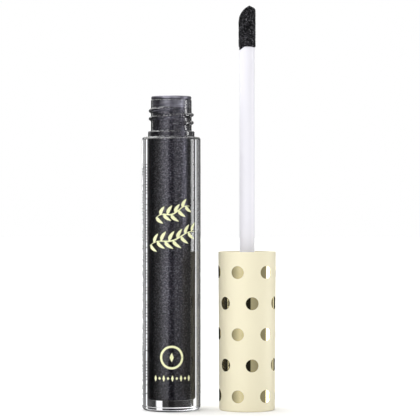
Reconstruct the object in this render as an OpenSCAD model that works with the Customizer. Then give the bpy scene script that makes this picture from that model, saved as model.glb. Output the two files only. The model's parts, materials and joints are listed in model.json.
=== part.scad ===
// Lip gloss tube with a flocked wand on its screw cap.
// The tube stands on its base. The cap stands beside it on its closed end, wand up.
// Millimetres, +Z up, origin on the ground midway between the two standing pieces.
// Heights of the tube's pieces count from its base. Heights of the cap's pieces
// count from its closed end. Screwed home, the cap is upside down on the tube.

/* [Wand] */
// Outside radius of the flocked tip
tip_r = 2.45; // [2.1:0.05:3.2]
// Length of the flocked tip
tip_h = 11.5; // [9:0.5:16]
// How far up the tip its slanted face begins
slant_from = 6.9; // [4:0.1:8]
// How far past the axis the slanted face ends
peak_x = 0.7; // [0:0.1:1.5]
// Drop of the tip's top from its peak to its straight side
peak_drop = 0.8; // [0.2:0.1:1.5]
// Thickness of the flocking
flock_t = 0.45; // [0.3:0.05:0.8]
// Outside radius of the stem
stem_r = 2.1; // [1.75:0.05:2.6]
// Radius of the hole along the stem
stem_bore_r = 1.2; // [0.8:0.05:1.5]
// Length of the plug that holds the tip in the stem
plug_h = 6; // [3:0.5:12]
// Gap between the tip and the tube's floor when the cap is screwed home
tip_gap = 4.9; // [2:0.1:8]

/* [Wiper] */
// Clearance of the wand in the wiper's opening
orifice_fit = 0.15; // [0.05:0.01:0.3]
// Width of the wiper's inner lip
lip_w = 1.1; // [0.6:0.05:1.6]
// Height of the straight part of the opening
lip_h = 0.6; // [0.3:0.1:1.2]
// Wall of the wiper
wiper_wall = 0.55; // [0.4:0.05:0.8]
// Length of the wiper's straight barrel
barrel_h = 2.2; // [1.5:0.1:5]
// Length of the wiper's cone
cone_h = 5; // [3:0.1:8]
// Thickness of the wiper's flange
flange_t = 1; // [0.7:0.05:1.5]
// How far the flange stays inside the neck's outside
flange_inset = 0.1; // [0:0.05:0.4]
// Rounding of the flange and of the neck's rim
rim_round = 0.3; // [0.1:0.05:0.35]

/* [Tube] */
// Height of the tube from its base to its shoulder
tube_h = 76.3; // [55:0.1:110]
// Thickness of the tube's floor
floor_t = 3; // [2:0.1:6]
// Rounding of the bore at its floor
bore_round = 0.7; // [0.3:0.1:1.5]
// Rounding around the base
base_round = 1.2; // [0.5:0.1:2]
// Rounding around the shoulder
shoulder_round = 0.8; // [0.3:0.1:1.2]
// Radius of the shallow recess under the base
recess_r = 5.4; // [3:0.1:6]
// Depth of the recess under the base
recess_h = 0.5; // [0.2:0.1:1]
// How much further out the tube's side stands than the cap's mouth
side_step = 0.15; // [0:0.05:1]

/* [Neck] */
// Wall of the neck
neck_wall = 1.45; // [1:0.05:2]
// Height of the neck above the shoulder
neck_h = 10.4; // [9:0.1:16]
// How far the collar at the foot of the neck stands out
collar_w = 0.8; // [0.3:0.05:1]
// Height of the collar
collar_h = 1.6; // [1:0.1:2]

/* [Thread] */
// Rise of the thread in one turn
thread_lead = 2.2; // [1.8:0.05:3]
// Number of turns on the neck
thread_turns = 2.05; // [1.2:0.05:2.2]
// Height of the thread ridge
thread_h = 0.6; // [0.4:0.05:0.8]
// Width of the ridge at its foot
thread_foot_w = 1.3; // [0.9:0.05:1.5]
// Width of the ridge at its crest
thread_crest_w = 0.4; // [0.2:0.05:0.6]
// Height of the ridge's lower end above the shoulder
thread_from = 3.45; // [3:0.05:4.5]
// Direction of the ridge's lower end about the tube's axis, in degrees
thread_at = -90; // [-180:5:180]
// Radial clearance between cap thread and neck
thread_fit = 0.15; // [0.05:0.01:0.3]
// Clearance on each flank of the thread
flank_fit = 0.2; // [0.1:0.01:0.3]
// Number of turns in the cap
liner_turns = 1.6; // [1:0.05:1.8]

/* [Cap] */
// Height of the cap
cap_h = 44.3; // [34:0.1:70]
// Wall of the outer cap around the liner
cap_wall = 1; // [0.8:0.05:2]
// Thickness of the cap's closed end
cap_end_t = 1.3; // [0.8:0.1:3]
// How much smaller the radius of the closed end is than that of the mouth
cap_taper = 0.27; // [0:0.01:0.5]
// Rounding around the closed end
cap_round = 0.5; // [0.2:0.05:0.8]
// Chamfers at the cap's mouth
mouth_chamfer = 0.2; // [0.1:0.05:0.3]
// Width of the ledge inside the cap that the liner sits on
seat_w = 0.3; // [0.2:0.05:0.6]
// Gap between cap and shoulder when the cap is screwed home
cap_gap = 0.3; // [0.1:0.05:0.6]

/* [Liner] */
// Wall of the liner behind its thread
liner_wall = 0.6; // [0.5:0.05:1.2]
// Thickness of the liner's top plate
liner_top_t = 1.3; // [0.8:0.1:2]
// Gap between the liner and the tube's collar when the cap is screwed home
liner_gap = 0.2; // [0.1:0.05:0.5]
// Depth of the socket that holds the stem, below the top plate
socket_h = 8.5; // [5:0.5:14]
// Wall of the socket
socket_wall = 1.1; // [0.8:0.1:1.6]
// Thickness of the centring ribs
rib_t = 0.8; // [0.6:0.1:1.2]
// Gap between the centring ribs and the outer cap
rib_fit = 0.1; // [0.05:0.05:0.3]
// Height of the snap bead on the stem
bead_r = 0.15; // [0.05:0.05:0.3]

/* [Seal] */
// Thickness of the seal washer
washer_t = 0.8; // [0.5:0.1:1.5]
// Clearance of the washer around the stem
washer_fit = 0.08; // [0.05:0.01:0.1]
// Gap on each side of the washer when the cap is screwed home
seal_gap = 0.05; // [0.02:0.01:0.1]

/* [Lip colour] */
// Clearance between the wand and the well it leaves in the lip colour
well_fit = 0.5; // [0.15:0.05:0.6]
// Depth of the well below the tip when the cap is screwed home
well_end_gap = 1; // [0.5:0.1:1.5]

/* [Back label] */
// Height of the label
label_h = 65; // [40:0.5:100]
// Angle that the label wraps around the tube, in degrees
label_arc = 200; // [90:5:300]
// Thickness of the label film
label_t = 0.06; // [0.05:0.01:0.2]

/* [Foil dots] */
// Radius of a dot
dot_r = 1.78; // [1:0.01:2.2]
// Number of dots around a row
dots_per_row = 6; // [3:1:8]
// Thickness of the foil
foil_t = 0.04; // [0.03:0.01:0.1]
// Height of the lowest row's centre above the closed end
dot_end_margin = 4.25; // [3:0.05:8]
// Distance of the highest row's centre from the mouth
dot_mouth_margin = 5.65; // [3:0.05:8]
// Turn of the lowest row about the cap's axis, in degrees
dot_turn = -20.4; // [-30:0.1:30]
// Further turn of every second row, in degrees
dot_stagger = 29.8; // [0:0.1:60]

/* [Layout] */
// Distance between the axes of the tube and of the cap
spacing = 21.2; // [20:0.1:40]

/* [Hidden] */
$fn = 96;

arc_steps = 8;      // straight steps in a rounded corner
slant_steps = 12;   // straight steps along the tip's slanted face
helix_steps = 40;   // steps in one turn of a thread
half_step = 180 / helix_steps;  // keeps the seam of a round wall off a thread's steps
run_out = 40;       // degrees over which a thread fades in and out
sink = 0.2;         // how deep a thread's foot reaches into its wall
past = 1;           // how far a cutter reaches past what it cuts
foil_rows = 5;      // rows of foil dots
cap_ribs = 4;       // centring ribs on the liner's socket

// radii, from the wand outwards
wand_r = max(tip_r, stem_r);
core_r = tip_r - flock_t;
orifice_r = wand_r + orifice_fit;
well_r = wand_r + well_fit;
barrel_r = orifice_r + lip_w;
bore_r = barrel_r + wiper_wall;
neck_r = bore_r + neck_wall;
flange_r = neck_r - flange_inset;
collar_r = neck_r + collar_w;
crest_r = neck_r + thread_h;
liner_bore_r = crest_r + thread_fit;
liner_r = liner_bore_r + liner_wall;
cap_mouth_r = liner_r + cap_wall;
cap_end_r = cap_mouth_r - cap_taper;
tube_r = cap_mouth_r + side_step;

// heights on the tube
neck_top = tube_h + neck_h;
flange_top = neck_top + flange_t;
cone_top = neck_top - barrel_h;
lip_z = cone_top - cone_h;
label_z = (tube_h - label_h) / 3;

// where the cap sits when it is screwed home, in the tube's heights
closed_h = tube_h + cap_gap + cap_h;

// heights in the cap, each from the tube's height that it meets
liner_mouth = closed_h - (tube_h + collar_h + liner_gap);
ceiling = closed_h - (flange_top + washer_t + 2 * seal_gap);
liner_seat = ceiling - liner_top_t;
socket_end = liner_seat - socket_h;
stem_foot = socket_end + socket_wall;
bead_z = (stem_foot + liner_seat) / 2;
tip_top = closed_h - (floor_t + tip_gap);
tip_foot = tip_top - tip_h;
washer_z = ceiling + seal_gap;

// thread of the cap: half a lead off the neck's thread when screwed home
flank = (thread_foot_w - thread_crest_w) / thread_h;
male_w = thread_foot_w - flank * thread_fit;
liner_crest_w = thread_lead - male_w - 2 * flank_fit;
liner_foot_w = liner_crest_w + flank * thread_h;
male_mid = tube_h + thread_from + thread_lead * thread_turns / 2;
male_at_0 = tube_h + thread_from - thread_lead * thread_at / 360;
liner_at_0 = closed_h - male_at_0 - thread_lead / 2;
liner_low = closed_h - male_mid - thread_lead * liner_turns / 2;
liner_at = 360 * (liner_low - liner_at_0) / thread_lead;

// places of the two standing pieces
width = tube_r + spacing + cap_mouth_r;
tube_x = tube_r - width / 2;
cap_x = width / 2 - cap_mouth_r;

// points of an arc about a centre, from one direction to another
function arc(x, y, r, from, to) =
    [for (i = [0 : arc_steps])
        let (a = from + (to - from) * i / arc_steps)
        [x + r * cos(a), y + r * sin(a)]];

function cap_r_at(z) = cap_end_r + (cap_mouth_r - cap_end_r) * z / cap_h;

// a thread's height share, fading in and out at its ends
function fade(a, total) = max(0.02, min(1, a / run_out, (total - a) / run_out));

// section of a thread ridge that starts in the wall at r_in and ends at r_out;
// side is 1 where the ridge points outwards and -1 where it points inwards
function ridge_section(r, h, foot_w, crest_w, side, share) =
    let (w = foot_w * share, c = crest_w * share)
    [[r - side * sink, -w / 2], [r + side * h * share, -c / 2],
     [r + side * h * share, c / 2], [r - side * sink, w / 2]];

module thread_ridge(r, h, foot_w, crest_w, side, turns) {
    total = 360 * turns;
    steps = ceil(turns * helix_steps);
    points = [for (i = [0 : steps])
        let (a = total * i / steps)
        for (p = ridge_section(r, h, foot_w, crest_w, side, fade(a, total)))
            [p[0] * cos(a), p[0] * sin(a), p[1] + thread_lead * a / 360]];
    last = 4 * steps;
    order = side > 0 ? [3, 2, 1, 0] : [0, 1, 2, 3];
    sides = [for (i = [0 : steps - 1], k = [0 : 3])
        let (a = order[k], b = order[(k + 1) % 4])
        for (f = [[4 * i + a, 4 * i + 4 + b, 4 * i + b],
                  [4 * i + a, 4 * i + 4 + a, 4 * i + 4 + b]]) f];
    ends = [[order[0], order[1], order[2]], [order[0], order[2], order[3]],
            [last + order[2], last + order[1], last + order[0]],
            [last + order[3], last + order[2], last + order[0]]];
    polyhedron(points, concat(sides, ends), convexity = 8);
}

module at_tube() translate([tube_x, 0, 0]) children();

module at_cap() translate([cap_x, 0, 0]) children();

// Clear tube: thick wall, round bore, threaded neck
module bottle() color([0.9, 0.92, 0.96, 0.35]) at_tube() {
    rotate([0, 0, thread_at + half_step])
        rotate_extrude()
            polygon(concat(
                [[0, recess_h], [recess_r - recess_h, recess_h], [recess_r, 0]],
                arc(tube_r - base_round, base_round, base_round, -90, 0),
                arc(tube_r - shoulder_round, tube_h - shoulder_round, shoulder_round,
                    0, 90),
                [[collar_r, tube_h], [collar_r, tube_h + collar_h - rim_round],
                 [collar_r - rim_round, tube_h + collar_h],
                 [neck_r, tube_h + collar_h]],
                arc(neck_r - rim_round, neck_top - rim_round, rim_round, 0, 90),
                [[bore_r, neck_top]],
                arc(bore_r - bore_round, floor_t + bore_round, bore_round, 0, -90),
                [[0, floor_t]]));
    translate([0, 0, tube_h + thread_from])
        rotate([0, 0, thread_at])
            thread_ridge(neck_r, thread_h, thread_foot_w, thread_crest_w, 1, thread_turns);
}

// Soft insert in the neck that wipes the wand
module wiper() color([0.82, 0.82, 0.86]) at_tube()
    rotate_extrude()
        polygon(concat(
            [[orifice_r, lip_z + lip_h], [orifice_r, lip_z],
             [orifice_r + wiper_wall, lip_z], [bore_r, cone_top], [bore_r, neck_top]],
            arc(flange_r - rim_round, neck_top + rim_round, rim_round, -90, 0),
            arc(flange_r - rim_round, flange_top - rim_round, rim_round, 0, 90),
            [[barrel_r, flange_top], [barrel_r, cone_top]]));

// Thick matt colour that fills the bore, with the well that the wand left in it
module lip_colour() color([0.13, 0.12, 0.16]) at_tube()
    rotate_extrude()
        polygon(concat(
            [[0, floor_t]],
            arc(bore_r - bore_round, floor_t + bore_round, bore_round, -90, 0),
            [[bore_r, cone_top], [orifice_r + wiper_wall, lip_z], [well_r, lip_z],
             [well_r, floor_t + tip_gap - well_end_gap],
             [0, floor_t + tip_gap - well_end_gap]]));

// Thin film around the back of the tube
module back_label() color([0.85, 0.85, 0.88]) at_tube()
    rotate([0, 0, 90 - label_arc / 2])
        rotate_extrude(angle = label_arc)
            translate([tube_r, label_z])
                square([label_t, label_h]);

// Outer cap: a tapered shell with one closed end
module over_cap() color([0.93, 0.90, 0.80]) at_cap()
    rotate_extrude()
        polygon(concat(
            [[0, 0]],
            arc(cap_r_at(cap_round) - cap_round, cap_round, cap_round, -90, 0),
            [[cap_r_at(cap_h - mouth_chamfer), cap_h - mouth_chamfer],
             [cap_mouth_r - mouth_chamfer, cap_h],
             [liner_r + mouth_chamfer, cap_h], [liner_r, cap_h - mouth_chamfer],
             [liner_r, liner_seat], [liner_r - seat_w, liner_seat],
             [liner_r - seat_w, cap_end_t + cap_round],
             [liner_r - seat_w - cap_round, cap_end_t], [0, cap_end_t]]));

// Liner pressed into the outer cap: thread for the neck, socket for the stem
module inner_cap() color([0.95, 0.95, 0.95]) at_cap() {
    difference() {
        union() {
            translate([0, 0, liner_seat])
                cylinder(h = liner_mouth - liner_seat, r = liner_r);
            translate([0, 0, socket_end])
                cylinder(h = socket_h + liner_top_t / 2, r = stem_r + socket_wall);
            intersection() {
                translate([0, 0, socket_end + socket_wall])
                    cylinder(h = socket_h, r = liner_r - seat_w - rib_fit);
                for (i = [0 : cap_ribs - 1])
                    rotate([0, 0, 360 * i / cap_ribs])
                        translate([stem_r + socket_wall / 2, -rib_t / 2, 0])
                            cube([liner_r, rib_t, liner_seat + liner_top_t / 2]);
            }
        }
        translate([0, 0, ceiling])
            rotate([0, 0, liner_at + half_step])
                cylinder(h = liner_mouth - ceiling + past, r = liner_bore_r);
        stem_outside(0, ceiling + past);
    }
    translate([0, 0, liner_low])
        rotate([0, 0, liner_at])
            thread_ridge(liner_bore_r, thread_h, liner_foot_w, liner_crest_w, -1,
                         liner_turns);
}

// Outside of the stem with its snap bead, up to a given height
module stem_outside(from, to) {
    foot = max(from, stem_foot);
    rotate_extrude()
        polygon([[0, foot], [stem_r, foot],
                 [stem_r, bead_z - 2 * bead_r], [stem_r + bead_r, bead_z - bead_r],
                 [stem_r + bead_r, bead_z + bead_r], [stem_r, bead_z + 2 * bead_r],
                 [stem_r, to], [0, to]]);
}

// Soft ring that closes on the wiper's flange; it lies loose around the stem
module seal_washer() color([0.80, 0.80, 0.82]) at_cap()
    translate([0, 0, washer_z])
        difference() {
            cylinder(h = washer_t, r = flange_r);
            translate([0, 0, -past])
                cylinder(h = washer_t + 2 * past, r = stem_r + washer_fit);
        }

// Hollow rod between the cap and the tip
module stem() color([0.93, 0.92, 0.96]) at_cap()
    difference() {
        stem_outside(0, tip_foot);
        translate([0, 0, stem_foot + stem_r - stem_bore_r])
            cylinder(h = tip_foot - stem_foot, r = stem_bore_r);
    }

// Side view of the tip: straight on one side, slanted and crowned on the other
module tip_shape(r, h, from) {
    run = peak_x + r;
    rise = h - from;
    sweep = 2 * atan(run / rise);
    radius = rise / sin(sweep);
    intersection() {
        cylinder(h = h, r = r);
        rotate([90, 0, 0])
            linear_extrude(height = 4 * r, center = true)
                polygon(concat(
                    [[r + past, 0], [r + past, h - peak_drop]],
                    [[r, h - peak_drop]],
                    [for (i = [0 : slant_steps])
                        let (a = sweep * (1 - i / slant_steps))
                        [-r + radius * (1 - cos(a)), from + radius * sin(a)]],
                    [[-r, from], [-r - past, from], [-r - past, 0]]));
    }
}

// Core of the tip with the plug that fits the stem
module applicator_core() color([0.25, 0.25, 0.28]) at_cap() {
    translate([0, 0, tip_foot])
        tip_shape(core_r, tip_h - flock_t, slant_from);
    translate([0, 0, tip_foot - plug_h])
        cylinder(h = plug_h + flock_t, r = stem_bore_r);
}

// Flocking around the core
module flocked_pad() color([0.08, 0.08, 0.1]) at_cap()
    translate([0, 0, tip_foot])
        difference() {
            tip_shape(tip_r, tip_h, slant_from);
            tip_shape(core_r, tip_h - flock_t, slant_from);
        }

// One row of foil dots, counted from the closed end
module foil_row(row) color([0.72, 0.66, 0.42]) at_cap() {
    pitch = (cap_h - dot_end_margin - dot_mouth_margin) / (foil_rows - 1);
    z = dot_end_margin + pitch * (row - 1);
    turn = dot_turn - 90 + ((row - 1) % 2) * dot_stagger;
    intersection() {
        difference() {
            cylinder(h = cap_h, r1 = cap_end_r + foil_t, r2 = cap_mouth_r + foil_t);
            cylinder(h = cap_h, r1 = cap_end_r, r2 = cap_mouth_r);
        }
        for (i = [0 : dots_per_row - 1])
            rotate([0, 0, turn + 360 * i / dots_per_row])
                translate([cap_end_r / 2, 0, z])
                    rotate([0, 90, 0])
                        cylinder(h = cap_mouth_r, r = dot_r);
    }
}

module foil_dots_row_1() foil_row(1);
module foil_dots_row_2() foil_row(2);
module foil_dots_row_3() foil_row(3);
module foil_dots_row_4() foil_row(4);
module foil_dots_row_5() foil_row(5);

bottle();
wiper();
lip_colour();
back_label();
over_cap();
inner_cap();
seal_washer();
stem();
applicator_core();
flocked_pad();
foil_dots_row_1();
foil_dots_row_2();
foil_dots_row_3();
foil_dots_row_4();
foil_dots_row_5();
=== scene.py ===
import json
import math

import bpy
import numpy as np
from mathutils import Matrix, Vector


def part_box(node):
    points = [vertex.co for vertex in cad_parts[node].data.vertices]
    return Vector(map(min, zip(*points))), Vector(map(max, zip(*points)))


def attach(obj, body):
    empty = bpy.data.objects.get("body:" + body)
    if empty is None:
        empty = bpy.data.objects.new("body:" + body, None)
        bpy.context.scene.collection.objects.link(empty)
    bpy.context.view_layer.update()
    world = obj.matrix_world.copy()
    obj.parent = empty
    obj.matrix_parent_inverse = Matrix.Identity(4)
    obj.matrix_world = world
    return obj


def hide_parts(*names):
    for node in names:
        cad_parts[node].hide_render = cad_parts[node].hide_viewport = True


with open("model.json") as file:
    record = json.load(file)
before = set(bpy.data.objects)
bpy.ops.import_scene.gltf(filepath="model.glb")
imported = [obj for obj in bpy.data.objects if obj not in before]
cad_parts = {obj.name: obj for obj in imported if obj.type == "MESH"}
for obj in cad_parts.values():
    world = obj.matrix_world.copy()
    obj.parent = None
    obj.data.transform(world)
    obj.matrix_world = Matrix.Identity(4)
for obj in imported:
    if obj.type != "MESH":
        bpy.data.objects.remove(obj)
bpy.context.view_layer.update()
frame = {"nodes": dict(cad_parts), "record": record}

mm = 0.001
mounts = {m["name"]: m for m in frame["record"]["mounts"]}


def low(node):
    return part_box(node)[0].z / mm


def high(node):
    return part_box(node)[1].z / mm


tubeX = mounts["tube_side"]["pos_m"][0]   # the two axes that everything turns about
capX = mounts["cap_end"]["pos_m"][0]
tubeRadius = mounts["tube_side"]["dims"]["r_mm"]
collarMid = 0.65                          # the collar's mount over the shoulder
shoulder = mounts["neck_collar"]["pos_m"][2] / mm - collarMid
neckTop = high("bottle")
flangeTop = high("wiper")
fillFoot = low("lip_colour")
coneTop = high("lip_colour")
lipFoot = low("wiper")
capTop = high("over_cap")
tipFoot = low("flocked_pad")
tipTop = high("flocked_pad")
stemFoot = low("stem")
linerFoot = low("inner_cap")
linerMouth = high("inner_cap")
washerFoot = low("seal_washer")
washerTop = high("seal_washer")


def leaveEdit():
    if bpy.context.mode != 'OBJECT':
        bpy.ops.object.mode_set(mode='OBJECT')


def clearSelection():
    leaveEdit()
    bpy.ops.object.select_all(action='DESELECT')


def takeUp(piece):
    # the piece alone is selected and active
    clearSelection()
    piece.select_set(True)
    bpy.context.view_layer.objects.active = piece


def named(name):
    piece = bpy.context.active_object
    piece.name = name
    piece.data.name = name
    return piece


def pick(piece, wanted, kind='VERT'):
    # opens edit mode with the vertices, edges or faces that pass the test on their point,
    # both their ends or their middle
    leaveEdit()
    mesh = piece.data
    for part in list(mesh.vertices) + list(mesh.edges) + list(mesh.polygons):
        part.select = False
    place = piece.matrix_world
    points = [place @ v.co for v in mesh.vertices]
    if kind == 'VERT':
        for v in mesh.vertices:
            v.select = wanted(points[v.index])
    elif kind == 'EDGE':
        for e in mesh.edges:
            e.select = wanted(*(points[i] for i in e.vertices))
    else:
        for f in mesh.polygons:
            f.select = wanted(place @ f.center)
    bpy.ops.object.mode_set(mode='EDIT')
    bpy.ops.mesh.select_mode(type=kind)


def settle(piece):
    # leaves the object at the origin with its place in its mesh
    takeUp(piece)
    bpy.ops.object.transform_apply(location=True, rotation=True, scale=True)


def tidyShell(piece, merge=0.002):
    # merges doubles, then turns every face outwards
    takeUp(piece)
    bpy.ops.object.mode_set(mode='EDIT')
    bpy.ops.mesh.select_all(action='SELECT')
    bpy.ops.mesh.remove_doubles(threshold=merge * mm)
    bpy.ops.mesh.normals_make_consistent(inside=False)
    bpy.ops.object.mode_set(mode='OBJECT')


def smooth(piece, angle=35):
    takeUp(piece)
    bpy.ops.object.shade_smooth_by_angle(angle=math.radians(angle))


def thicken(piece, thickness, offset):
    takeUp(piece)
    shell = piece.modifiers.new("shell", 'SOLIDIFY')
    shell.thickness = thickness * mm
    shell.offset = offset
    bpy.ops.object.modifier_apply(modifier="shell")


def startPoint(name, axisX, place):
    # a single vertex at a place in metres from the axis, open in edit mode
    clearSelection()
    bpy.ops.mesh.primitive_plane_add(size=mm, location=(axisX, 0, 0))
    piece = named(name)
    bpy.ops.object.mode_set(mode='EDIT')
    bpy.ops.mesh.select_mode(type='VERT')
    bpy.ops.mesh.merge(type='CENTER')
    bpy.ops.transform.translate(value=place)
    return piece


def turned(name, axisX, outline, rounds=(), ring=False, cuts=(), steps=144):
    # draws the outline (radius, height) beside the axis, rounds its corners and spins it
    piece = startPoint(name, axisX, (outline[0][0] * mm, 0, outline[0][1] * mm))
    for (r0, z0), (r1, z1) in zip(outline, outline[1:]):
        step = ((r1 - r0) * mm, 0, (z1 - z0) * mm)
        bpy.ops.mesh.extrude_vertices_move(TRANSFORM_OT_translate={"value": step})

    def near(r, z):
        return lambda p: abs(p.x - axisX - r * mm) < 1e-6 and abs(p.z - z * mm) < 1e-6

    if ring:
        ends = (near(*outline[0]), near(*outline[-1]))
        pick(piece, lambda p: ends[0](p) or ends[1](p))
        bpy.ops.mesh.edge_face_add()
    for (r, z), size, parts in rounds:
        pick(piece, near(r, z))
        bpy.ops.mesh.bevel(offset=size * mm, segments=parts, affect='VERTICES')
    for (r, z0, z1), count in cuts:   # extra rows in one straight wall
        def onWall(*ends, r=r, z0=z0, z1=z1):
            return all(abs(p.x - axisX - r * mm) < 1e-6 and z0 - 0.001 < p.z / mm < z1 + 0.001 for p in ends)
        pick(piece, onWall, 'EDGE')
        bpy.ops.mesh.subdivide(number_cuts=count)
    bpy.ops.object.mode_set(mode='EDIT')
    bpy.ops.mesh.select_mode(type='VERT')
    bpy.ops.mesh.select_all(action='SELECT')
    bpy.ops.mesh.spin(steps=steps, angle=2 * math.pi, center=(axisX, 0, 0), axis=(0, 0, 1))
    settle(piece)
    tidyShell(piece)
    return piece


def moveVertices(piece, rule):
    # rule takes and returns an array of points in millimetres
    mesh = piece.data
    points = np.empty(len(mesh.vertices) * 3)
    mesh.vertices.foreach_get("co", points)
    points = rule(points.reshape(-1, 3) / mm) * mm
    mesh.vertices.foreach_set("co", points.ravel())
    mesh.update()


def dress(piece, material, body, slot, *nodes):
    piece.data.materials.clear()
    piece.data.materials.append(material)
    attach(piece, body)
    if nodes:
        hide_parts(*nodes)


def newMaterial(name):
    material = bpy.data.materials.new(name)
    material.use_nodes = True
    tree = material.node_tree
    return material, tree, tree.nodes["Principled BSDF"]


def feed(tree, socket, value):
    # a link from another socket, or a fixed value
    if isinstance(value, bpy.types.NodeSocket):
        tree.links.new(value, socket)
    else:
        socket.default_value = value


def addNode(tree, kind, inputs=None, **settings):
    # inputs holds a socket or a fixed value for each input's name
    node = tree.nodes.new(kind)
    for name, value in settings.items():
        setattr(node, name, value)
    for name, value in (inputs or {}).items():
        feed(tree, node.inputs[name], value)
    return node


def objectPoint(tree, scale=(1, 1, 1)):
    # object coordinates in millimetres, stretched for a pattern
    coords = tree.nodes.new("ShaderNodeTexCoord")
    mapping = addNode(tree, "ShaderNodeMapping", {"Vector": coords.outputs["Object"]})
    mapping.inputs["Scale"].default_value = [s / mm for s in scale]
    return mapping.outputs["Vector"]


def noise(tree, point, size, detail=2.0, roughness=0.5):
    inputs = {"Vector": point, "Scale": size, "Detail": detail, "Roughness": roughness}
    return addNode(tree, "ShaderNodeTexNoise", inputs).outputs["Fac"]


def ramp(tree, source, stops):
    # a colour or grey for each place along the way
    node = addNode(tree, "ShaderNodeValToRGB", {"Fac": source})
    marks = node.color_ramp.elements
    while len(marks) < len(stops):
        marks.new(0.5)
    for mark, (place, value) in zip(marks, stops):
        mark.position = place
        mark.color = (value, value, value, 1) if isinstance(value, (int, float)) else (*value, 1)
    return node.outputs["Color"]


def maths(tree, operation, first, second=None):
    node = addNode(tree, "ShaderNodeMath", operation=operation)
    feed(tree, node.inputs[0], first)
    if second is not None:
        feed(tree, node.inputs[1], second)
    return node.outputs["Value"]


def span(tree, value, start, end, low=0, high=1, easing='LINEAR'):
    # turns start to end into low to high, and holds both ends
    inputs = {"Value": value, "From Min": start, "From Max": end, "To Min": low, "To Max": high}
    return addNode(tree, "ShaderNodeMapRange", inputs, interpolation_type=easing).outputs["Result"]


def mixed(tree, share, first, second, blend='MIX'):
    node = addNode(tree, "ShaderNodeMix", data_type='RGBA', blend_type=blend)
    for name, value in (("Factor", share), ("A", first), ("B", second)):
        feed(tree, node.inputs[name], value)
    return node.outputs["Result"]


def times(tree, first, second):
    return mixed(tree, 1, first, second, 'MULTIPLY')


def scaled(tree, colour, factor):
    node = addNode(tree, "ShaderNodeVectorMath", operation='SCALE')
    feed(tree, node.inputs[0], colour)
    feed(tree, node.inputs["Scale"], factor)
    return node.outputs["Vector"]


def facing(tree):
    # 0 where the surface faces the eye and 1 where it turns away
    return addNode(tree, "ShaderNodeLayerWeight", {"Blend": 0.5}).outputs["Facing"]


def bumped(tree, shader, height, strength, distance):
    inputs = {"Height": height, "Strength": strength, "Distance": distance * mm}
    lift = addNode(tree, "ShaderNodeBump", inputs)
    tree.links.new(lift.outputs["Normal"], shader.inputs["Normal"])


def newGroup(name, inputs, outputs):
    group = bpy.data.node_groups.new(name, "ShaderNodeTree")
    for label, kind, value in inputs:
        socket = group.interface.new_socket(name=label, in_out='INPUT', socket_type=kind)
        if value is not None:
            socket.default_value = value
    for label, kind in outputs:
        group.interface.new_socket(name=label, in_out='OUTPUT', socket_type=kind)
    return group, group.nodes.new("NodeGroupInput"), group.nodes.new("NodeGroupOutput")


def makeMouldedGroup():
    # faint cloudiness and fine orange peel of moulded plastic
    group, start, end = newGroup(
        "mouldedSurface",
        [("Vector", 'NodeSocketVector', None),
         ("Colour", 'NodeSocketColor', (0.8, 0.8, 0.8, 1)),
         ("Shade", 'NodeSocketColor', (0.6, 0.6, 0.6, 1)),
         ("Cloud Scale", 'NodeSocketFloat', 0.15),
         ("Grain Scale", 'NodeSocketFloat', 6.0),
         ("Gloss Low", 'NodeSocketFloat', 0.25),
         ("Gloss High", 'NodeSocketFloat', 0.4)],
        [("Colour", 'NodeSocketColor'), ("Roughness", 'NodeSocketFloat'),
         ("Height", 'NodeSocketFloat')])
    cloud = noise(group, start.outputs["Vector"], start.outputs["Cloud Scale"], 3.0)
    grain = noise(group, start.outputs["Vector"], start.outputs["Grain Scale"], roughness=0.6)
    colour = mixed(group, cloud, start.outputs["Colour"], start.outputs["Shade"])
    gloss = span(group, cloud, 0, 1, start.outputs["Gloss Low"], start.outputs["Gloss High"])
    height = maths(group, 'ADD', maths(group, 'MULTIPLY', grain, 0.35), cloud)
    group.links.new(colour, end.inputs["Colour"])
    group.links.new(gloss, end.inputs["Roughness"])
    group.links.new(height, end.inputs["Height"])
    return group


mouldedGroup = makeMouldedGroup()


def mouldedMaterial(name, colour, shade, gloss, bump=0.02, grain=6.0, cloud=0.15):
    material, tree, shader = newMaterial(name)
    surface = tree.nodes.new("ShaderNodeGroup")
    surface.node_tree = mouldedGroup
    surface.inputs["Colour"].default_value = (*colour, 1)
    surface.inputs["Shade"].default_value = (*shade, 1)
    surface.inputs["Cloud Scale"].default_value = cloud
    surface.inputs["Grain Scale"].default_value = grain
    surface.inputs["Gloss Low"].default_value = gloss[0]
    surface.inputs["Gloss High"].default_value = gloss[1]
    tree.links.new(objectPoint(tree), surface.inputs["Vector"])
    tree.links.new(surface.outputs["Colour"], shader.inputs["Base Color"])
    tree.links.new(surface.outputs["Roughness"], shader.inputs["Roughness"])
    bumped(tree, shader, surface.outputs["Height"], bump, 0.1)
    return material


camera = {"distance": 570, "height": 59, "aim": 55.9, "side": 0.3, "frameWidth": 117.6, "sensor": 36.0}


def makeCamera():
    data = bpy.data.cameras.new("camera")
    data.sensor_width = camera["sensor"]
    data.lens = camera["sensor"] * camera["distance"] / camera["frameWidth"]
    data.clip_start = 0.01
    data.clip_end = 20
    eye = bpy.data.objects.new("camera", data)
    bpy.context.scene.collection.objects.link(eye)
    place = Vector((camera["side"], -camera["distance"], camera["height"])) * mm
    target = Vector((camera["side"], 0, camera["aim"])) * mm
    eye.location = place
    eye.rotation_euler = (target - place).to_track_quat('-Z', 'Y').to_euler()
    bpy.context.scene.camera = eye


makeCamera()

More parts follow.
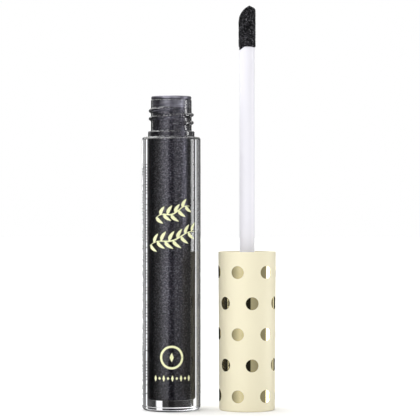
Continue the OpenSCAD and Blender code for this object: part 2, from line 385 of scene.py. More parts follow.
# brightness round the room in front of the object; 0 is the front and right is plus, in degrees
frontBands = [(-62, 0.32), (-30, 0.8), (-12, 0.72), (-9, 0.015), (12, 0.015), (15, 0.42), (60, 0.27),
              (80, 0.3), (83.5, 1.3), (87, 5.4), (92, 8.2), (98, 7.8), (100.5, 5.0)]
light = {
    # what clear and glossy surfaces see at eye level
    "bands": [(-180, 0.015), (-140, 0.03), (-137.5, 1.4), (-131, 1.2), (-126, 0.14), (-118, 0.2),
              (-78, 0.05), *frontBands, (102, 0.75), (109, 0.7), (117, 0.34), (128, 0.12), (129.5, 1.5),
              (133, 1.5), (135, 0.1), (157, 0.015), (158.5, 1.2), (167, 1.2), (168.5, 0.015), (180, 0.015)],
    # what they see lower down
    "ground": [(-180, 0.015), (-160, 0.03), (-125, 0.04), (-78, 0.05), *frontBands, (102, 0.6), (109, 0.45),
               (115, 0.1), (128, 0.12), (145, 0.04), (157, 0.015), (158.5, 1.1), (166.5, 1.1), (168, 0.015),
               (174, 0.015), (175, 0.8), (178, 0.8), (179, 0.03), (180, 0.03)],
    # the soft tent, which lights everything that isn't glossy
    "tent": [(-180, 0.95), (-150, 1.9), (-125, 1.8), (-60, 1.5), (-35, 1.45), (-12, 0.97), (15, 0.72),
             (60, 0.67), (100, 0.7), (140, 0.74), (180, 0.95)],
    "groundFrom": -5.45,   # the ground's bands begin this far under eye level, in degrees
    "bandHalf": 11,        # half height of the bands
    "bandFade": 20,        # and where they have faded into the tent
    "top": 1.35,           # how much brighter the tent is straight above
    "topFrom": 20,
    "lamp": 3.2,           # and how much more for glossy surfaces, between two heights
    "lampSpan": (28, 50),
}


def aroundRamp(tree, turn, stops):
    # colour ramp round the room, from -180 to 180 degrees
    strongest = max(value for angle, value in stops)
    share = span(tree, turn, -math.pi, math.pi)
    colour = ramp(tree, share, [((angle + 180) / 360, value / strongest) for angle, value in stops])
    return times(tree, colour, (*[strongest] * 3, 1))


def makeWorld():
    world = bpy.data.worlds.new("softStudio")
    bpy.context.scene.world = world
    world.use_nodes = True
    tree = world.node_tree
    tree.nodes.clear()
    coords = tree.nodes.new("ShaderNodeTexCoord")
    split = addNode(tree, "ShaderNodeSeparateXYZ", {"Vector": coords.outputs["Generated"]})
    turn = maths(tree, 'ARCTAN2', split.outputs["X"], maths(tree, 'MULTIPLY', split.outputs["Y"], -1))
    rise = maths(tree, 'ARCSINE', split.outputs["Z"])
    bands = aroundRamp(tree, turn, light["bands"])
    ground = aroundRamp(tree, turn, light["ground"])
    tent = aroundRamp(tree, turn, light["tent"])
    overhead = span(tree, rise, math.radians(light["topFrom"]), math.pi / 2, 1, light["top"])
    lampFrom, lampTo = (math.radians(a) for a in light["lampSpan"])
    lamp = span(tree, rise, lampFrom, lampTo, 1, light["lamp"], 'SMOOTHSTEP')
    past = span(tree, maths(tree, 'ABSOLUTE', rise), math.radians(light["bandHalf"]),
                math.radians(light["bandFade"]), easing='SMOOTHSTEP')
    beneath = maths(tree, 'LESS_THAN', rise, math.radians(light["groundFrom"]))
    outer = mixed(tree, beneath, scaled(tree, tent, lamp), ground)
    sharp = mixed(tree, maths(tree, 'MAXIMUM', past, beneath), bands, outer)
    ray = tree.nodes.new("ShaderNodeLightPath")
    shiny = maths(tree, 'MAXIMUM', ray.outputs["Is Glossy Ray"], ray.outputs["Is Transmission Ray"])
    whole = mixed(tree, shiny, scaled(tree, tent, overhead), sharp)
    backdrop = mixed(tree, ray.outputs["Is Camera Ray"], whole, (1, 1, 1, 1))
    glow = addNode(tree, "ShaderNodeBackground", {"Color": backdrop})
    addNode(tree, "ShaderNodeOutputWorld", {"Surface": glow.outputs["Background"]})


makeWorld()
bpy.context.scene.view_settings.view_transform = 'Standard'


def makeFloor():
    clearSelection()
    bpy.ops.mesh.primitive_circle_add(vertices=64, radius=2.5, fill_type='NGON', location=(0, 0, 0))
    floor = named("paleFloor")
    floor.visible_glossy = False         # the gloss shows the studio and not the paper
    floor.visible_transmission = False
    material, tree, shader = newMaterial("palePaper")
    grain = noise(tree, objectPoint(tree), 0.6, 3.0)
    tree.links.new(ramp(tree, grain, [(0, 0.96), (1, 0.985)]), shader.inputs["Base Color"])
    shader.inputs["Roughness"].default_value = 0.8
    shader.inputs["Specular IOR Level"].default_value = 0.1
    floor.data.materials.append(material)


makeFloor()
print("camera, light and floor are set")


tube = {
    "floor": fillFoot, "bore": 4.25, "boreRound": 0.7, "neck": 5.7, "collar": 6.5, "collarHeight": 1.6,
    "baseRound": 1.2, "shoulderRound": 0.8, "rimRound": 0.3, "recess": 5.4, "recessDepth": 0.5,
    "threadFrom": 3.45, "threadLead": 2.2, "threadTurns": 2.05, "threadHeight": 0.6,
    "threadFoot": 1.3, "threadCrest": 0.4, "threadStart": -90, "runOut": 40, "rows": 84,
    "plainFoot": 0.2, "plainTop": 0.45,   # wall without rows under and over the thread
}


def threadHeight(angle, height, form):
    # height of a thread ridge over its wall, for each angle in degrees and height
    total = 360 * form["threadTurns"]
    best = np.zeros_like(height)
    for turn in range(math.ceil(form["threadTurns"]) + 1):
        along = (angle - form["threadStart"]) % 360 + 360 * turn
        middleLine = form["threadLead"] * along / 360
        off = np.abs(height - form["threadFrom"] - middleLine)
        fade = np.clip(np.minimum(along, total - along) / form["runOut"], 0, 1)
        half = form["threadFoot"] / 2 * fade
        flat = form["threadCrest"] / 2 * fade
        slope = np.clip((half - off) / np.maximum(half - flat, 1e-6), 0, 1)
        slope = slope * slope * (3 - 2 * slope) * 0.5 + slope * 0.5   # soft corners
        best = np.maximum(best, np.where(fade > 0, slope * fade, 0))
    return best * form["threadHeight"]


def raiseThread(piece, axisX, wall, foot, form, side=1):
    # lifts the rows of one round wall into a ridge, outwards or with side -1 inwards
    def lift(p):
        x, y, z = p[:, 0] - axisX / mm, p[:, 1], p[:, 2]
        r = np.hypot(x, y)
        ridge = threadHeight(np.degrees(np.arctan2(y, x)), z - foot, form)
        k = 1 + side * np.where(np.abs(r - wall) < 1e-3, ridge, 0) / np.maximum(r, 1e-6)
        return np.stack([x * k + axisX / mm, y * k, z], 1)

    moveVertices(piece, lift)


def makeTube():
    t = tube
    wallFoot = shoulder + t["collarHeight"]
    wallTop = neckTop - t["plainTop"]
    outline = [
        (0, t["recessDepth"]), (t["recess"] - t["recessDepth"], t["recessDepth"]), (t["recess"], 0),
        (tubeRadius, 0), (tubeRadius, shoulder), (t["collar"], shoulder), (t["collar"], wallFoot),
        (t["neck"], wallFoot), (t["neck"], wallTop), (t["neck"], neckTop), (t["bore"], neckTop),
        (t["bore"], t["floor"]), (0, t["floor"])]
    rounds = [
        ((t["recess"] - t["recessDepth"], t["recessDepth"]), 0.2, 3), ((t["recess"], 0), 0.15, 3),
        ((tubeRadius, 0), t["baseRound"], 8), ((tubeRadius, shoulder), t["shoulderRound"], 7),
        ((t["collar"], shoulder), 0.25, 4), ((t["collar"], wallFoot), t["rimRound"], 5),
        ((t["neck"], wallFoot), t["plainFoot"], 3), ((t["neck"], neckTop), t["rimRound"], 5),
        ((t["bore"], neckTop), 0.1, 2), ((t["bore"], t["floor"]), t["boreRound"], 6)]
    cuts = [((t["neck"], wallFoot + t["plainFoot"], wallTop), t["rows"])]
    piece = turned("clearTube", tubeX, outline, rounds, cuts=cuts, steps=180)
    raiseThread(piece, tubeX, t["neck"], shoulder, t)
    smooth(piece, 40)
    return piece


def clearPlastic():
    material, tree, shader = newMaterial("clearPolishedPlastic")
    point = objectPoint(tree)
    haze = noise(tree, point, 0.25, 4.0)
    tint = ramp(tree, haze, [(0, (0.985, 0.985, 0.995)), (1, (0.97, 0.975, 0.99))])
    tree.links.new(tint, shader.inputs["Base Color"])
    tree.links.new(ramp(tree, haze, [(0.3, 0.0), (0.75, 0.02)]), shader.inputs["Roughness"])
    bumped(tree, shader, noise(tree, point, 0.12, 1.0), 0.004, 0.2)
    shader.inputs["Transmission Weight"].default_value = 1
    shader.inputs["IOR"].default_value = 1.57
    return material


dress(makeTube(), clearPlastic(), "tube", "clear_plastic", "bottle")
print("clear tube is made")


fill = {"press": 0.02, "well": 2.95, "wellFloor": 6.9, "coneFoot": 3.15, "flakeSize": 2.4,
        "dark": (0.065, 0.063, 0.08), "pearl": (0.125, 0.12, 0.148), "spark": (0.33, 0.32, 0.38),
        # the ramp against facing in this table is painted shade: how much colour is kept as the surface turns
        # away from the eye
        "paintedEdgeShade": [(0.0, 1.0), (0.08, 0.9), (0.17, 0.42), (0.35, 0.2), (1.0, 0.2)],
        "darkerToFoot": (8, 32, 0.55)}   # darker towards the foot: this much of the colour at the first height, full colour from the second height up


def makeFill():
    r = tube["bore"] + fill["press"]
    foot = fillFoot - fill["press"]
    outline = [(0, foot), (r, foot), (r, coneTop), (fill["coneFoot"], lipFoot), (fill["well"], lipFoot),
               (fill["well"], fill["wellFloor"]), (0, fill["wellFloor"])]
    piece = turned("lipColourFill", tubeX, outline, [((r, foot), tube["boreRound"], 6)])
    smooth(piece)
    return piece


def lipColour():
    # dark pearly liquid: fine flakes that lie along the wall and shine softly
    material, tree, shader = newMaterial("shimmerLipColour")
    point = objectPoint(tree)
    flakes = noise(tree, point, fill["flakeSize"], roughness=0.7)
    cloud = noise(tree, point, 0.35, 4.0)
    pearl = ramp(tree, flakes, [(0.35, fill["dark"]), (0.52, fill["pearl"]), (0.68, fill["spark"])])
    clouded = times(tree, pearl, ramp(tree, cloud, [(0.3, 0.82), (0.7, 1.0)]))
    # painted shade: the colour is darkened where the wall turns away from the eye, in place of the dimmer
    # light there
    edgeShadedColour = times(tree, clouded, ramp(tree, facing(tree), fill["paintedEdgeShade"]))
    # the colour is darker towards the foot
    height = addNode(tree, "ShaderNodeSeparateXYZ", {"Vector": point}).outputs["Z"]
    tree.links.new(times(tree, edgeShadedColour, span(tree, height, *fill["darkerToFoot"])), shader.inputs["Base Color"])
    tree.links.new(ramp(tree, cloud, [(0.3, 0.3), (0.7, 0.36)]), shader.inputs["Roughness"])
    shader.inputs["Metallic"].default_value = 1
    bumped(tree, shader, flakes, 0.05, 0.03)
    return material


lipMaterial = lipColour()
dress(makeFill(), lipMaterial, "tube", "lip_colour", "lip_colour")
print("lip colour is made")


wiper = {"opening": 2.6, "wall": 0.55, "barrel": 3.7, "flange": 5.6, "flangeRound": 0.3, "lip": 0.6,
         # the ramp against facing in this table is painted shade, darkening the stain as the surface turns
         # away from the eye
         "press": 0.02, "rimGap": 0.01, "paintedEdgeShade": [(0.0, 1.0), (0.07, 0.8), (0.15, 0.35), (1.0, 0.2)],
         "stain": [(0.3, (0.25, 0.24, 0.31)), (0.5, (0.43, 0.42, 0.5)), (0.72, (0.62, 0.61, 0.7))]}


def makeWiper():
    w = wiper
    outside = tube["bore"] + w["press"]
    flangeFoot = neckTop + w["rimGap"]
    outline = [(w["opening"], lipFoot + w["lip"]), (w["opening"], lipFoot),
               (w["opening"] + w["wall"], lipFoot), (outside, coneTop), (outside, flangeFoot),
               (w["flange"], flangeFoot), (w["flange"], flangeTop), (w["barrel"], flangeTop),
               (w["barrel"], coneTop)]
    rounds = [((w["flange"], flangeFoot), w["flangeRound"], 5),
              ((w["flange"], flangeTop), w["flangeRound"], 5), ((w["barrel"], flangeTop), 0.2, 4)]
    piece = turned("wiperInsert", tubeX, outline, rounds, ring=True)
    smooth(piece)
    return piece


def stainedPlastic():
    # milky soft plastic with the pearly colour smeared over and behind it
    material, tree, shader = newMaterial("stainedWiperPlastic")
    smears = noise(tree, objectPoint(tree, scale=(0.35, 0.35, 1.6)), 1.0, 4.0, 0.55)
    # the stain is real; on top of it, painted shade darkens the colour where the surface turns away from the
    # eye
    colour = times(tree, ramp(tree, smears, wiper["stain"]), ramp(tree, facing(tree), wiper["paintedEdgeShade"]))
    tree.links.new(colour, shader.inputs["Base Color"])
    tree.links.new(ramp(tree, smears, [(0.3, 0.3), (0.7, 0.42)]), shader.inputs["Roughness"])
    shader.inputs["Metallic"].default_value = 0.85
    bumped(tree, shader, noise(tree, objectPoint(tree), 5.0), 0.15, 0.1)
    return material


dress(makeWiper(), stainedPlastic(), "tube", "wiper_plastic", "wiper")
print("wiper is made")


cap = {"mouth": 8.05, "end": 7.78, "endRound": 0.5, "mouthEdge": 0.2, "endWall": 1.3, "seat": 0.3,
       "liner": 7.05, "linerSeat": 31.0, "gap": 0.3}


def capRadius(z):
    return cap["end"] + (cap["mouth"] - cap["end"]) * z / capTop


def makeCap():
    c = cap
    inner = c["liner"] - c["seat"]
    outline = [(0, 0), (capRadius(0), 0), (capRadius(capTop), capTop), (c["liner"], capTop),
               (c["liner"], c["linerSeat"]), (inner, c["linerSeat"]), (inner, c["endWall"]),
               (0, c["endWall"])]
    rounds = [((capRadius(0), 0), c["endRound"], 7), ((capRadius(capTop), capTop), c["mouthEdge"], 4),
              ((c["liner"], capTop), c["mouthEdge"], 3), ((inner, c["endWall"]), 0.5, 4)]
    piece = turned("creamCap", capX, outline, rounds)
    smooth(piece)
    return piece


creamPlastic = mouldedMaterial("satinCreamPlastic", (0.855, 0.80, 0.59), (0.83, 0.765, 0.56), (0.42, 0.52),
                               bump=0.03, grain=5.0, cloud=0.12)
dress(makeCap(), creamPlastic, "cap", "cream_plastic", "over_cap")

liner = {
    "radius": 7.05, "bore": 6.45, "ceiling": 32.3, "seat": 31.0, "socket": 3.2, "socketHole": 2.1,
    "threadLead": 2.2, "threadTurns": 1.6, "threadHeight": 0.6, "threadFoot": 1.625,
    "threadCrest": 0.725, "runOut": 40, "rows": 90, "plainTop": 0.3, "mouthEdge": 0.15,
}
# the liner's thread lies between the turns of the tube's thread when the cap is on
closedTop = shoulder + capTop + cap["gap"]
lead = tube["threadLead"]
threadMiddle = shoulder + tube["threadFrom"] + lead * tube["threadTurns"] / 2
liner["threadFrom"] = closedTop - threadMiddle - lead * liner["threadTurns"] / 2
threadAtSide = shoulder + tube["threadFrom"] + lead / 4
liner["threadStart"] = 360 * (liner["threadFrom"] - (closedTop - threadAtSide - lead / 2)) / lead


def makeLiner():
    n = liner
    wallFoot = n["ceiling"] + n["plainTop"]
    outline = [(n["socketHole"], linerFoot), (n["socket"], linerFoot), (n["socket"], n["seat"]),
               (n["radius"], n["seat"]), (n["radius"], linerMouth), (n["bore"], linerMouth),
               (n["bore"], wallFoot), (n["bore"], n["ceiling"]), (n["socketHole"], n["ceiling"])]
    rounds = [((n["radius"], linerMouth), n["mouthEdge"], 3), ((n["bore"], linerMouth), n["mouthEdge"], 3)]
    cuts = [((n["bore"], wallFoot, linerMouth - n["mouthEdge"]), n["rows"])]
    piece = turned("capLiner", capX, outline, rounds, ring=True, cuts=cuts)
    raiseThread(piece, capX, n["bore"], 0, n, -1)
    smooth(piece, 40)
    return piece


whitePlastic = mouldedMaterial("whiteMouldedPlastic", (0.88, 0.88, 0.87), (0.82, 0.82, 0.82), (0.35, 0.5))
dress(makeLiner(), whitePlastic, "cap", "white_plastic", "inner_cap")

seal = {"bore": 2.18, "edge": 0.15}


def makeSeal():
    bore, outside = seal["bore"], wiper["flange"]
    outline = [(bore, washerFoot), (outside, washerFoot), (outside, washerTop), (bore, washerTop)]
    rounds = [((outside, washerFoot), seal["edge"], 3), ((outside, washerTop), seal["edge"], 3)]
    piece = turned("sealRing", capX, outline, rounds, ring=True, steps=96)
    smooth(piece)
    return piece


softFoam = mouldedMaterial("softFoam", (0.8, 0.8, 0.82), (0.66, 0.66, 0.7), (0.7, 0.9), bump=0.4, grain=9.0)
dress(makeSeal(), softFoam, "seal", "soft_washer", "seal_washer")
print("cap, liner and seal are made")


foil = {"radius": 1.78, "lift": 0.035, "gap": 0.004, "rings": 5, "rowsOfDots": 5, "around": 6,
        "lowest": 4.25, "fromMouth": 5.65, "turn": -20.4, "stagger": 29.8}


def goldFoil():
    material, tree, shader = newMaterial("paleGoldFoil")
    point = objectPoint(tree)
    cloud = noise(tree, point, 0.7, 4.0)
    gold = ramp(tree, cloud, [(0.2, (0.88, 0.78, 0.47)), (0.8, (0.82, 0.72, 0.40))])
    tree.links.new(gold, shader.inputs["Base Color"])
    grain = noise(tree, point, 5.0, 3.0)
    tree.links.new(ramp(tree, grain, [(0.3, 0.03), (0.8, 0.09)]), shader.inputs["Roughness"])
    bumped(tree, shader, cloud, 0.012, 0.05)
    shader.inputs["Metallic"].default_value = 1
    return material


foilMaterial = goldFoil()


def makeDotRow(row):
    # one flat disc with rings of faces, copied around and laid on the cap's cone
    clearSelection()
    bpy.ops.mesh.primitive_circle_add(vertices=40, radius=foil["radius"] * mm, fill_type='NGON')
    disc = named("foilRow%d" % row)
    bpy.ops.object.mode_set(mode='EDIT')
    bpy.ops.mesh.select_all(action='SELECT')
    for _ in range(foil["rings"]):
        bpy.ops.mesh.inset(thickness=foil["radius"] * mm / (foil["rings"] + 1), depth=0)
    bpy.ops.mesh.poke()
    bpy.ops.mesh.select_all(action='SELECT')
    bpy.ops.mesh.extrude_region_move(TRANSFORM_OT_translate={"value": (0, 0, foil["lift"] * mm)})
    settle(disc)
    tidyShell(disc, 0.001)
    copies = [disc]
    for _ in range(foil["around"] - 1):
        takeUp(disc)
        bpy.ops.object.duplicate()
        copies.append(bpy.context.active_object)
    pitch = (capTop - foil["lowest"] - foil["fromMouth"]) / (foil["rowsOfDots"] - 1)
    height = foil["lowest"] + pitch * (row - 1)
    first = foil["turn"] - 90 + ((row - 1) % 2) * foil["stagger"]
    for place, copy in enumerate(copies):
        at = math.radians(first + 360 * place / foil["around"])

        def lay(p, at=at):
            z = height + p[:, 1]
            r = capRadius(z)
            across = np.arcsin(np.clip(p[:, 0] / r, -1, 1))
            out = r + p[:, 2] + foil["gap"]
            return np.stack([capX / mm + out * np.cos(at + across), out * np.sin(at + across), z], 1)

        moveVertices(copy, lay)
    clearSelection()
    for copy in copies:
        copy.select_set(True)
    bpy.context.view_layer.objects.active = disc
    bpy.ops.object.join()
    tidyShell(disc, 0.0005)
    smooth(disc, 50)
    return disc


for row in range(1, foil["rowsOfDots"] + 1):
    dress(makeDotRow(row), foilMaterial, "cap", "gold_foil", "foil_dots_row_%d" % row)
print("foil dots are made")


wand = {"stem": 2.1, "bead": 0.15, "beadAt": 27.3, "beadHalf": 0.3, "bore": 1.2, "footWall": 0.9}


def makeStem():
    w = wand
    bead, half = w["stem"] + w["bead"], w["beadHalf"]
    outline = [(0, stemFoot), (w["stem"], stemFoot), (w["stem"], w["beadAt"] - half),
               (bead, w["beadAt"] - half / 2), (bead, w["beadAt"] + half / 2),
               (w["stem"], w["beadAt"] + half), (w["stem"], tipFoot), (w["bore"], tipFoot),
               (w["bore"], stemFoot + w["footWall"]), (0, stemFoot + w["footWall"])]
    rounds = [((w["stem"], stemFoot), 0.2, 3)]
    piece = turned("wandStem", capX, outline, rounds, steps=96)
    smooth(piece)
    return piece


stemPlastic = mouldedMaterial("whiteStemPlastic", (0.86, 0.85, 0.90), (0.82, 0.81, 0.87), (0.3, 0.4))
dress(makeStem(), stemPlastic, "cap", "stem_plastic", "stem")

tip = {"radius": 2.3, "height": 11.35, "slantFrom": 6.9, "peak": 0.7, "drop": 0.8, "rows": 46, "rings": 9,
       "edge": 0.2, "fibres": 9000, "fibreLength": 0.26, "fibreWidth": 0.045, "outside": 2.45,
       "lumpSeed": 7, "fibreSeed": 11}


def tipCrown(x):
    # height of the tip's upper face over its foot, across the slant from left to right
    t = tip
    run = t["peak"] + t["radius"]
    rise = t["height"] - t["slantFrom"]
    sweep = 2 * math.atan(run / rise)
    bend = rise / math.sin(sweep)
    left = np.clip((x + t["radius"]) / bend, 0, 1)
    slant = t["slantFrom"] + bend * np.sin(np.arccos(np.clip(1 - left, -1, 1)))
    fall = t["height"] - t["drop"] * (x - t["peak"]) / (t["radius"] - t["peak"])
    return np.where(x < t["peak"], np.minimum(slant, t["height"]), fall)


def makeTip():
    t = tip
    clearSelection()
    bpy.ops.mesh.primitive_cylinder_add(vertices=96, radius=t["radius"] * mm, depth=t["height"] * mm,
                                        end_fill_type='NGON', location=(0, 0, t["height"] / 2 * mm))
    piece = named("flockTip")
    settle(piece)
    top = t["height"] * mm
    pick(piece, lambda p: p.z > top - 1e-6, 'FACE')
    bpy.ops.mesh.inset(thickness=t["edge"] * mm * 0.6)
    for _ in range(t["rings"]):
        bpy.ops.mesh.inset(thickness=(t["radius"] - t["edge"]) * mm / (t["rings"] + 1))
    bpy.ops.mesh.poke()
    pick(piece, lambda a, b: abs(a.z - b.z) > top / 2, 'EDGE')
    bpy.ops.mesh.subdivide(number_cuts=t["rows"])
    leaveEdit()

    def shape(p):
        x, y, z = p.T
        crown = tipCrown(np.clip(x, -t["radius"], t["radius"]))
        inward = t["radius"] - np.hypot(x, y)
        roundOff = np.sqrt(np.clip(1 - (1 - np.clip(inward / t["edge"], 0, 1)) ** 2, 0, 1))
        crown = crown - t["edge"] * (1 - roundOff)
        share = z / t["height"]
        height = np.where(share > 0.999, crown, np.minimum(share * crown, share * t["height"]))
        return np.stack([x + capX / mm, y, height + tipFoot], 1)

    moveVertices(piece, shape)
    tidyShell(piece)
    rng = np.random.default_rng(tip["lumpSeed"])

    def lumps(p):
        # soft uneven nap under the fibres
        x, y, z = p[:, 0] - capX / mm, p[:, 1], p[:, 2]
        wave = (np.sin(3.1 * z + 2.3 * np.arctan2(y, x)) * np.sin(5.3 * z - 4 * np.arctan2(y, x) + 1.3)
                + 0.6 * np.sin(9.1 * z + 7 * np.arctan2(y, x)))
        k = 1 + 0.022 * wave + rng.normal(0, 0.006, len(p))
        return np.stack([capX / mm + x * k, y * k, z], 1)

    moveVertices(piece, lumps)
    smooth(piece, 60)
    return piece


def makeFibres(base):
    # short flock fibres: three-sided spikes that stand on the nap
    mesh = base.data
    mesh.calc_loop_triangles()
    points = np.array([v.co for v in mesh.vertices]) / mm
    normals = np.array([v.normal for v in mesh.vertices])
    triangles = np.array([t.vertices for t in mesh.loop_triangles])
    a, b, c = (points[triangles[:, i]] for i in range(3))
    areas = np.linalg.norm(np.cross(b - a, c - a), axis=1)
    areas = areas * ((a[:, 2] + b[:, 2] + c[:, 2]) / 3 > tipFoot + 0.15)   # none under the tip
    rng = np.random.default_rng(tip["fibreSeed"])
    chosen = rng.choice(len(triangles), tip["fibres"], p=areas / areas.sum())
    u, v = rng.random(tip["fibres"]), rng.random(tip["fibres"])
    flip = u + v > 1
    u, v = np.where(flip, 1 - u, u), np.where(flip, 1 - v, v)
    corner = triangles[chosen]
    weights = np.stack([1 - u - v, u, v], 1)[:, :, None]
    root = (points[corner] * weights).sum(1)
    normal = (normals[corner] * weights).sum(1)
    normal /= np.linalg.norm(normal, axis=1)[:, None]
    lean = rng.normal(0, 0.45, (tip["fibres"], 3))
    ahead = normal + lean - (lean * normal).sum(1)[:, None] * normal * 0.5
    ahead /= np.linalg.norm(ahead, axis=1)[:, None]
    length = tip["fibreLength"] * rng.uniform(0.5, 1.1, tip["fibres"])
    side = np.cross(ahead, rng.normal(0, 1, (tip["fibres"], 3)))
    side /= np.linalg.norm(side, axis=1)[:, None]
    other = np.cross(ahead, side)
    width = tip["fibreWidth"] * rng.uniform(0.7, 1.2, tip["fibres"])[:, None]
    root = root - normal * 0.05
    thirds = [2 * math.pi * k / 3 for k in range(3)]
    corners = [root + width * (side * math.cos(t) + other * math.sin(t)) for t in thirds]
    end = root + ahead * length[:, None]
    radial = np.hypot(end[:, 0] - capX / mm, end[:, 1])
    pull = np.minimum(1, (tip["outside"] + 0.02) / radial)
    end[:, 0] = capX / mm + (end[:, 0] - capX / mm) * pull
    end[:, 1] *= pull
    end[:, 2] = np.minimum(end[:, 2], tipTop)
    verts = np.stack([*corners, end], 1).reshape(-1, 3) * mm
    start = np.arange(tip["fibres"])[:, None] * 4
    faces = np.concatenate([start + f for f in ([0, 1, 3], [1, 2, 3], [2, 0, 3], [0, 2, 1])])
    fibreMesh = bpy.data.meshes.new("flockFibres")
    fibreMesh.from_pydata(verts.tolist(), [], faces.tolist())
    piece = bpy.data.objects.new("flockFibres", fibreMesh)
    bpy.context.scene.collection.objects.link(piece)
    tone = fibreMesh.attributes.new("tone", 'FLOAT', 'POINT')
    tone.data.foreach_set("value", np.repeat(rng.random(tip["fibres"]), 4).astype(np.float32))
    return piece


def wetSpecks(tree):
    # black with grey specks, where the wet colour clumps the flock
    clump = noise(tree, objectPoint(tree), 3.6, 3.0, 0.8)
    return clump, ramp(tree, clump, [(0.48, (0.001, 0.001, 0.0015)), (0.55, (0.008, 0.008, 0.01)),
                                     (0.61, (0.12, 0.118, 0.13)), (0.7, (0.6, 0.58, 0.64))])


def flockMaterial():
    material, tree, shader = newMaterial("blackFlock")
    clump, colour = wetSpecks(tree)
    tree.links.new(colour, shader.inputs["Base Color"])
    tree.links.new(ramp(tree, clump, [(0.4, 0.8), (0.65, 0.4)]), shader.inputs["Roughness"])
    shader.inputs["Specular IOR Level"].default_value = 0.1
    bumped(tree, shader, clump, 0.6, 0.08)
    return material


def fibreMaterial():
    # each fibre has its own tone
    material, tree, shader = newMaterial("flockFibre")
    clump, colour = wetSpecks(tree)
    tone = addNode(tree, "ShaderNodeAttribute", attribute_name="tone").outputs["Fac"]
    shade = ramp(tree, tone, [(0.0, 0.4), (0.7, 0.9), (1.0, 1.6)])
    tree.links.new(times(tree, colour, shade), shader.inputs["Base Color"])
    tree.links.new(ramp(tree, tone, [(0, 0.75), (1, 0.5)]), shader.inputs["Roughness"])
    shader.inputs["Specular IOR Level"].default_value = 0.08
    return material


flockBase = makeTip()
fibres = makeFibres(flockBase)
dress(flockBase, flockMaterial(), "cap", "flock", "flocked_pad")
dress(fibres, fibreMaterial(), "cap", "flock")

core = frame["nodes"]["applicator_core"]
coreMaterial = mouldedMaterial("tipCorePlastic", (0.03, 0.03, 0.035), (0.02, 0.02, 0.024), (0.4, 0.6))
core.data.materials.clear()
core.data.materials.append(coreMaterial)

smear = {"gap": 0.015, "thick": 0.06, "top": 0.25, "rows": 5, "depth": 0.12, "ripple": 0.05,
         # where it runs further down: degrees from the front to the right, how wide, how far
         "runs": [(-78, 38, 0.8), (8, 30, -0.28), (170, 25, 0.25), (-170, 25, 0.25)]}


def makeSmear():
    # film of colour on the stem under the tip, with a drip on the left
    clearSelection()
    r = (wand["stem"] + smear["gap"]) * mm
    edge = tipFoot + smear["top"]
    bpy.ops.mesh.primitive_circle_add(vertices=96, radius=r, fill_type='NOTHING',
                                      location=(capX, 0, edge * mm))
    piece = named("colourFilm")
    bpy.ops.object.mode_set(mode='EDIT')
    bpy.ops.mesh.select_all(action='SELECT')
    for _ in range(smear["rows"]):   # a band of 1 mm, which is then stretched
        bpy.ops.mesh.extrude_region_move(TRANSFORM_OT_translate={"value": (0, 0, -mm / smear["rows"])})
    settle(piece)

    def drip(p):
        angle = np.degrees(np.arctan2(p[:, 0] - capX / mm, -p[:, 1]))
        deep = smear["depth"] + smear["ripple"] * np.sin(np.radians(angle) * 7 + 1)
        for at, wide, far in smear["runs"]:
            deep = deep + far * np.exp(-((angle - at) / wide) ** 2)
        return np.stack([p[:, 0], p[:, 1], edge - (edge - p[:, 2]) * (smear["top"] + deep)], 1)

    moveVertices(piece, drip)
    tidyShell(piece)
    thicken(piece, smear["thick"], 1)
    tidyShell(piece)
    smooth(piece, 60)
    return piece


dress(makeSmear(), lipMaterial, "cap", "lip_colour")
print("wand is made")


ink = {"lift": 0.006, "thick": 0.02}


def inkMaterial():
    material, tree, shader = newMaterial("creamPrint")
    grain = noise(tree, objectPoint(tree), 4.0, 4.0)
    cream = ramp(tree, grain, [(0.2, (0.80, 0.81, 0.45)), (0.7, (0.88, 0.89, 0.56))])
    tree.links.new(cream, shader.inputs["Base Color"])
    tree.links.new(ramp(tree, grain, [(0, 0.35), (1, 0.55)]), shader.inputs["Roughness"])
    return material


inkColour = inkMaterial()


def layOnTube(p):
    # flat drawing (x along the girth, z up, y outwards) bent round the tube
    r = tubeRadius + ink["lift"] - p[:, 1]
    turn = p[:, 0] / tubeRadius
    return np.stack([tubeX / mm + r * np.sin(turn), -r * np.cos(turn), p[:, 2]], 1)


def drawStroke(points, widths, parts=10):
    # outline of a ribbon on a smooth curve through the points
    points = np.array(points, float)
    n = len(points)
    at = np.linspace(0, n - 1, (n - 1) * parts + 1)
    i = np.clip(at.astype(int), 0, n - 2)
    f = (at - i)[:, None]
    before, after = points[np.maximum(i - 1, 0)], points[np.minimum(i + 2, n - 1)]
    a, b = points[i], points[i + 1]
    line = 0.5 * ((2 * a) + (b - before) * f + (2 * before - 5 * a + 4 * b - after) * f ** 2
                  + (3 * a - before - 3 * b + after) * f ** 3)
    along = np.gradient(line, axis=0)
    along /= np.linalg.norm(along, axis=1)[:, None] + 1e-9
    off = np.stack([-along[:, 1], along[:, 0]], 1)
    half = np.interp(at, np.linspace(0, n - 1, len(widths)), widths)[:, None] / 2
    return np.concatenate([line + off * half, (line - off * half)[::-1]])


def flatMesh(name, strips):
    # strips of quads from ribbon outlines, given a thickness and laid on the tube
    verts, faces = [], []
    for strip in strips:
        start, half = len(verts), len(strip) // 2
        verts += [(x * mm, 0, z * mm) for x, z in strip]
        last = 2 * half - 1
        faces += [(start + k, start + k + 1, start + last - k - 1, start + last - k) for k in range(half - 1)]
    mesh = bpy.data.meshes.new(name)
    mesh.from_pydata(verts, [], faces)
    piece = bpy.data.objects.new(name, mesh)
    bpy.context.scene.collection.objects.link(piece)
    thicken(piece, ink["thick"], 0)
    moveVertices(piece, layOnTube)
    tidyShell(piece, 0.0002)
    smooth(piece, 40)
    return piece


sprig = {"waves": 1.5, "swing": 0.5, "leafWidth": 1.0, "stem": 0.42, "point": 0.12,
         # start along the girth and height, length, rise, leaves, leaf length
         "lines": [(-4.5, 53.6, 10.0, 3.4, 9, 2.9), (-6.6, 46.0, 14.2, 4.0, 12, 3.2)]}


